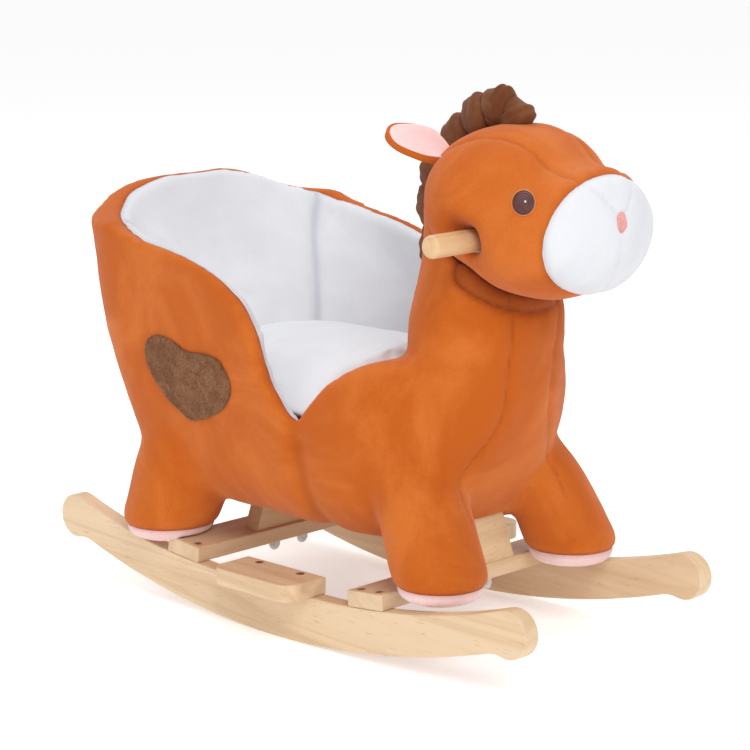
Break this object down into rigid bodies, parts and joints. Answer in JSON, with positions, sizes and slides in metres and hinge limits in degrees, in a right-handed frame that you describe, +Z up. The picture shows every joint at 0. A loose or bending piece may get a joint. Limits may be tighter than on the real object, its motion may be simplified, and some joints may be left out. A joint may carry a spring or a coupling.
{
  "type": "rocking horse",
  "caption": "Child's rocking horse: plush horse with a white-lined bucket seat and wooden grab handle, on curved wooden rockers with footrests.",
  "frame": {"origin": "on the floor, under the middle of the object's bounding box; the rockers touch the floor there", "axes": "+Z up, the horse faces -Y, its right side is -X and its left side is +X"},
  "size_m": [0.3174, 0.597, 0.497],
  "materials": {
    "base_wood": "clear satin lacquer",
    "riser_wood": "clear satin lacquer",
    "handle_wood": "clear satin lacquer",
    "inner_board": "bare",
    "zinc_steel": "zinc plated",
    "orange_velour": "short-pile velour",
    "dark_velour": "short-pile velour",
    "white_velour": "short-pile velour",
    "brown_plush": "curly plush",
    "pale_pink_velour": "short-pile velour",
    "eye_thread": "satin-stitch embroidery",
    "nose_thread": "satin-stitch embroidery"
  },
  "bodies": {
    "root": {"back_board": "inner_board", "cap_nuts": "zinc_steel", "chest_cover": "orange_velour", "chin_gusset": "dark_velour", "ear_left": "orange_velour", "ear_lining_left": "pale_pink_velour", "ear_lining_right": "pale_pink_velour", "ear_right": "orange_velour", "eye_left": "eye_thread", "eye_right": "eye_thread", "footrest_left": "base_wood", "footrest_right": "base_wood", "footrest_screws": "zinc_steel", "front_cross_slat": "base_wood", "front_leg_left": "orange_velour", "front_leg_right": "orange_velour", "front_riser": "riser_wood", "front_sole_left": "pale_pink_velour", "front_sole_right": "pale_pink_velour", "handle_dowel": "handle_wood", "head_cover": "orange_velour", "heart_patch_left": "brown_plush", "heart_patch_right": "brown_plush", "mane": "brown_plush", "muzzle_cover": "white_velour", "neck_cover": "orange_velour", "neck_post": "inner_board", "nose_patch": "nose_thread", "rear_cross_slat": "base_wood", "rear_leg_left": "orange_velour", "rear_leg_right": "orange_velour", "rear_riser": "riser_wood", "rear_sole_left": "pale_pink_velour", "rear_sole_right": "pale_pink_velour", "riser_studs": "zinc_steel", "rocker_left": "base_wood", "rocker_right": "base_wood", "seat_board": "inner_board", "seat_cushion": "white_velour", "seat_lining": "white_velour", "seat_shell": "orange_velour", "slat_screws": "zinc_steel", "washers": "zinc_steel"}
  },
  "joints": []
}
